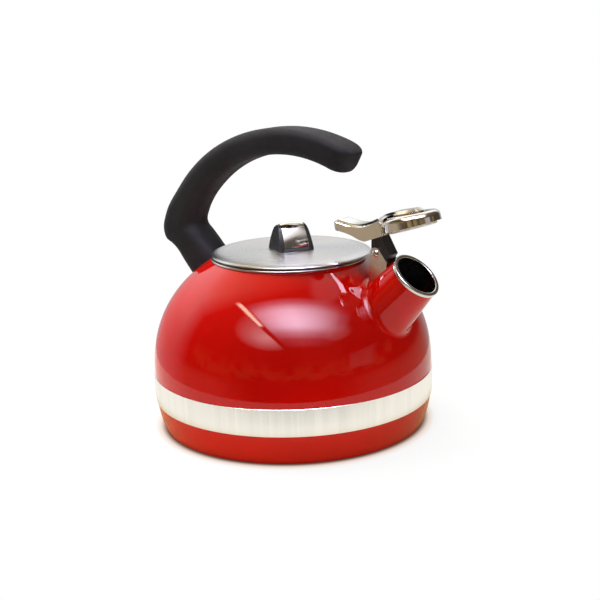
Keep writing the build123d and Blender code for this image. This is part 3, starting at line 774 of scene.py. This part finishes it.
# Spout: a straight steel tube, a little wider at its root, welded on and enamelled with the dome.
# The weld is dressed to a round fillet, so the enamel runs from the dome up the tube in one sweep.
mouth_radius = 16.9
spout_taper = 0.1
spout_wall = 1.4
spout_fillet = 6.0
fillet_sunk = 0.06
root_sunk = 0.7
root_inset = 0.4
rim_half_height = 1.4
spout_points = 120
cone_rows = 6
fillet_rows = 10
spout_front = Vector((sin(spout_tilt), 0, -cos(spout_tilt)))
spout_turns = [2 * pi * k / spout_points for k in range(spout_points)]


def round_spout(turn):
    """Direction square to the spout's axis, turned from its lower front."""
    return spout_front * cos(turn) + Vector((0, 1, 0)) * sin(turn)


def on_cone(turn, down, inset=0):
    """Point on the spout's cone, a distance down from the mouth."""
    return mouth_centre + round_spout(turn) * (mouth_radius + spout_taper * down - inset) - spout_way * down


def dome_way(point):
    """Outward direction of the dome's surface near a point."""
    slope = dome_radius(point.z + 0.5) - dome_radius(point.z - 0.5)
    flat = Vector((point.x, point.y, 0)).normalized()
    return Vector((flat.x, flat.y, -slope)).normalized()


def down_to_dome(turn, inset=0):
    """Distance down the cone at which it meets the dome."""
    low, high = 4.0, 60.0
    for _ in range(40):
        middle = (low + high) / 2
        point = on_cone(turn, middle, inset)
        if hypot(point.x, point.y) > dome_radius(point.z) > 0 or point.z > collar_top:
            low = middle
        else:
            high = middle
    return low


def spout_root(turn):
    """How far down the cone meets the dome, the point where it does, and the fillet's two ends there."""
    meet = down_to_dome(turn)
    corner = on_cone(turn, meet)
    normal = dome_way(corner)
    up_cone = (spout_way - round_spout(turn) * spout_taper).normalized()
    outward = round_spout(turn)
    outward = (outward - normal * outward.dot(normal)).normalized()
    tangent = spout_fillet / tan(up_cone.angle(outward) / 2)
    landing = corner + outward * tangent
    settle = dome_radius(landing.z) / hypot(landing.x, landing.y)
    landing = Vector((landing.x * settle, landing.y * settle, landing.z)) - normal * fillet_sunk
    return meet, corner, corner + up_cone * tangent, landing


spout_roots = [spout_root(turn) for turn in spout_turns]


def spout_row(step):
    """Row of points round the spout: down the cone, through the fillet, then up the bore."""
    row = []
    past_cone = step - cone_rows
    for turn, (meet, corner, leave, landing) in zip(spout_turns, spout_roots):
        if past_cone <= 0:
            row.append(on_cone(turn, rim_half_height).lerp(leave, step / cone_rows))
        elif past_cone <= fillet_rows:
            part = past_cone / fillet_rows
            row.append(leave.lerp(corner, part).lerp(corner.lerp(landing, part), part))
        elif past_cone == fillet_rows + 1:
            row.append(on_cone(turn, meet + root_sunk, root_inset))
        elif past_cone == fillet_rows + 2:
            row.append(on_cone(turn, down_to_dome(turn, spout_wall), spout_wall))
        else:
            row.append(on_cone(turn, rim_half_height, spout_wall))
    return row


def lay(verts, places):
    """Moves a row of points to new places."""
    for vert, place in zip(verts, places):
        vert.co = place


def grow(bm, ring_edges, places):
    """Extrudes a ring of edges, moves its new points to places and returns the new ring."""
    grown = bmesh.ops.extrude_edge_only(bm, edges=ring_edges)["geom"]
    fresh = [item for item in grown if isinstance(item, bmesh.types.BMVert)]
    lay(fresh, places)
    edges = [item for item in grown if isinstance(item, bmesh.types.BMEdge)]
    return [edge for edge in edges if all(vert in fresh for vert in edge.verts)]


bm = bmesh.new()
lay(bmesh.ops.create_circle(bm, segments=spout_points, radius=mouth_radius)["verts"], spout_row(0))
ring_edges = list(bm.edges)
for step in range(1, cone_rows + fillet_rows + 4):
    ring_edges = grow(bm, ring_edges, spout_row(step))
bmesh.ops.bridge_loops(bm, edges=[edge for edge in bm.edges if edge.is_boundary])
spout = into_scene(bm, "enamel_spout", enamel, 50)
line_inside(spout, from_spout_axis)
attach(spout, "kettle")
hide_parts("spout_tube")

# Lip of the mouth: a ring of polished steel with round corners, rolled over the tube's bare edge.
# The seal of the whistle closes on it.
rim_radius = 16.25
rim_half_width = 1.35
rim_corner = 0.7

lip_line = []
for side, top, begin in ((1, 1, 0), (-1, 1, 90), (-1, -1, 180), (1, -1, 270)):
    corner_out = rim_radius + side * (rim_half_width - rim_corner)
    corner_up = top * (rim_half_height - rim_corner)
    for k in range(6):
        turn = radians(begin + 18 * k)
        lip_line.append(Vector((corner_out + rim_corner * cos(turn), corner_up + rim_corner * sin(turn), 0)))
bm = spun(lip_line, 120, mouth_centre, spout_way)
lip_ring = into_scene(bm, "mouth_lip", plain_steel, 60)
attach(lip_ring, "kettle")
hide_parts("spout_rim")

# Hinge of the whistle: a clevis bent from bare steel sheet and welded to the spout's back.
# A round-headed rivet through both ears carries the whistle.
dress(plain_steel, "spout_bracket", "hinge_pin")

# Whistle: a die-cast cup and thumb lever in bright chrome on a black hinge block.
# Two holed discs inside the cup make the note, and a silicone ring seals the mouth.
# The lever's sharp edges are broken with a small round, so that they catch the light.
lever_edge_round = 0.6
lever_sharp = radians(40)
weld_reach = 0.02
silicone_grey = (0.62, 0.61, 0.58)
silicone_pale = (0.72, 0.71, 0.68)

silicone, tree, shader, place = finish_tree("silicone")
vary(tree, shader, "Base Color", grain(tree, place, 300, 2.0), (0.3, silicone_grey), (0.7, silicone_pale))
vary(tree, shader, "Roughness", grain(tree, place, 700, 2.0), (0.3, 0.42), (0.7, 0.55))

dress(chrome, "whistle_cap", "thumb_lever")
dress(moulding, "whistle_arm")
dress(fastener, "arm_screw")
dress(plain_steel, "whistle_disc_upper", "whistle_disc_lower", "whistle_spacer")
dress(silicone, "whistle_seal")
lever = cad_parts["thumb_lever"]
weld = lever.modifiers.new("weld", "WELD")
weld.merge_threshold = weld_reach / 1000
lever_edge = lever.modifiers.new("edge", "BEVEL")
lever_edge.width = lever_edge_round / 1000
lever_edge.segments = 3
lever_edge.limit_method = "ANGLE"
lever_edge.angle_limit = lever_sharp

# Handle: one moulding in charcoal heat-proof nylon with a fine spark-eroded grain.
# Its neck is pushed over a steel stud on the dome and locked by a screw in a deep hole in the heel.
grip_centre = Vector((2.4, 0, 89.4))
grip_radius = 112.0
grip_half = 9.2
grip_half_width = 13.6
grip_roundness = 0.85
grip_angles = (150, 141, 132, 123, 114, 105, 96, 87, 78, 72, 67.5)
grip_steps = 6
swell_start = 92
swell_under = 0.001
swell_over = 0.0015
lean_start = 123
lean_most = 5
crisp_start = -25
crisp_run = 70
crisp_share = 0.55
corner_points = 13
tip_round = 12.4
tip_rows = 12
tip_bend = 7.3
tip_under = 0.4
tip_over = 0.75
tip_side = 0.1
neck_root = Vector((-66, 0, 99.1))
neck_way = Vector((-sqrt(0.5), 0, sqrt(0.5)))
neck_under = Vector((-sqrt(0.5), 0, -sqrt(0.5)))
neck_half = 15.3
neck_half_width = 14.4
neck_sunk = 0.1
neck_rows_inside = 3
elbow = Vector((-81.8, 0, 137.2))
heel = [Vector((-107, 0, 120.8)), Vector((-112.4, 0, 124)), Vector((-114.7, 0, 130.9))]
screw_place = neck_root + neck_way * 27
screw_hole = 3.6
screw_hole_end = 10.2
heel_side = 5
charcoal_deep = (0.0138, 0.0138, 0.0155)
charcoal_pale = (0.0205, 0.02, 0.0225)

charcoal, tree, shader, place = finish_tree("charcoal_nylon")
vary(tree, shader, "Base Color", grain(tree, place, 40, 3.0), (0.3, charcoal_deep), (0.7, charcoal_pale))
vary(tree, shader, "Roughness", grain(tree, place, 300, 2.0), (0.3, 0.6), (0.7, 0.7))
shader.inputs["Specular IOR Level"].default_value = 0.2
relief(tree, shader, grain(tree, place, 1500, 3.0), 0.16, 0.00012)


def on_grip(angle, half):
    """Point at an angle on the grip's arc, moved out by half."""
    turn = radians(angle)
    return grip_centre + Vector((cos(turn), 0, sin(turn))) * (grip_radius + half)


def on_neck(step, side):
    """Point a step along the neck, on its upper line with side 1 or its lower line with side -1."""
    return neck_root + neck_way * step - neck_under * side * neck_half


under_points = [on_neck(step, 1) for step in (0, 10, 17, 22, 26, 30)] + [elbow]
over_points = [on_neck(0, -1), on_neck(15, -1), on_neck(28, -0.92), on_neck(38.5, -0.84)] + heel
widths = [neck_half_width] * len(under_points) + [grip_half_width] * len(grip_angles)
for angle in grip_angles:
    swell = max(angle - swell_start, 0) ** 2
    lean = lean_most * max(angle - lean_start, 0) / (grip_angles[0] - lean_start)
    under_points.append(on_grip(angle - lean, -grip_half - swell_under * swell))
    over_points.append(on_grip(angle + lean, grip_half + swell_over * swell))
tip_way = on_grip(65, 0) - on_grip(66, 0)
under_hand = smooth_line(under_points, neck_way, tip_way, grip_steps)
over_hand = smooth_line(over_points, neck_way, tip_way, grip_steps)
half_widths = []
for here, after in zip(widths, widths[1:]):
    half_widths += [here + (after - here) * k / grip_steps for k in range(grip_steps)]
half_widths.append(widths[-1])
for k in range(1, tip_rows + 1):
    bend = radians(tip_bend * k)
    tip_angle = grip_angles[-1] - (180 / pi) * tip_round * sin(bend) / grip_radius
    under_hand.append(on_grip(tip_angle, -grip_half * (tip_under + (1 - tip_under) * cos(bend) ** 0.7)))
    over_hand.append(on_grip(tip_angle, grip_half * (tip_over + (1 - tip_over) * cos(bend) ** 0.5)))
    half_widths.append(grip_half_width * (tip_side + (1 - tip_side) * cos(bend) ** 0.8))


def grip_row(low, high, half_width):
    """Round-cornered section of the handle, whose upper corners grow crisper towards its tip."""
    half = (high - low).length / 2
    up = (high - low).normalized()
    crisp = min(max((low.x - crisp_start) / crisp_run, 0), 1)
    row = []
    for side, top, begin in ((1, -1, -90), (1, 1, 0), (-1, 1, 90), (-1, -1, 180)):
        corner = grip_roundness * min(half_width, half) * (1 - crisp_share * crisp * (top > 0))
        for k in range(corner_points):
            turn = radians(begin + 90 * k / (corner_points - 1))
            y = side * (half_width - corner) + corner * cos(turn)
            z = top * (half - corner) + corner * sin(turn)
            row.append((low + high) / 2 + Vector((0, y, 0)) + up * z)
    return row


def onto_dome(point):
    """Slides a point along the neck until it meets the dome."""
    low, high = -40.0, 40.0
    for _ in range(40):
        middle = (low + high) / 2
        slid = point + neck_way * middle
        if slid.z > collar_top or hypot(slid.x, slid.y) > dome_radius(slid.z):
            high = middle
        else:
            low = middle
    return point + neck_way * (low - neck_sunk)


def along_screw(point):
    """How far a point lies from the neck's middle, along the handle screw towards its head."""
    return (point - screw_place).dot(neck_under)


def from_screw(point):
    """Part of the way from the handle screw's axis to point that is square to the axis."""
    return point - screw_place - neck_under * along_screw(point)


bm = bmesh.new()
neck_end = [onto_dome(point) for point in grip_row(under_hand[0], over_hand[0], half_widths[0])]
lay(bmesh.ops.create_circle(bm, segments=len(neck_end), radius=neck_half)["verts"], neck_end)
ring_edges = list(bm.edges)
for low, high, half_width in list(zip(under_hand, over_hand, half_widths))[neck_rows_inside:]:
    ring_edges = grow(bm, ring_edges, grip_row(low, high, half_width))
bmesh.ops.contextual_create(bm, geom=ring_edges)
bmesh.ops.recalc_face_normals(bm, faces=bm.faces)
hole_edges = drill(bm, from_screw, screw_hole, lambda point: along_screw(point) > heel_side)
grown = bmesh.ops.extrude_edge_only(bm, edges=hole_edges)["geom"]
for vert in [item for item in grown if isinstance(item, bmesh.types.BMVert)]:
    vert.co += neck_under * (screw_hole_end - along_screw(vert.co))
grip = into_scene(bm, "handle_moulding", charcoal, 40)
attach(grip, "kettle")
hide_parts("handle_grip")
dress(plain_steel, "handle_stud")
dress(fastener, "handle_screw")
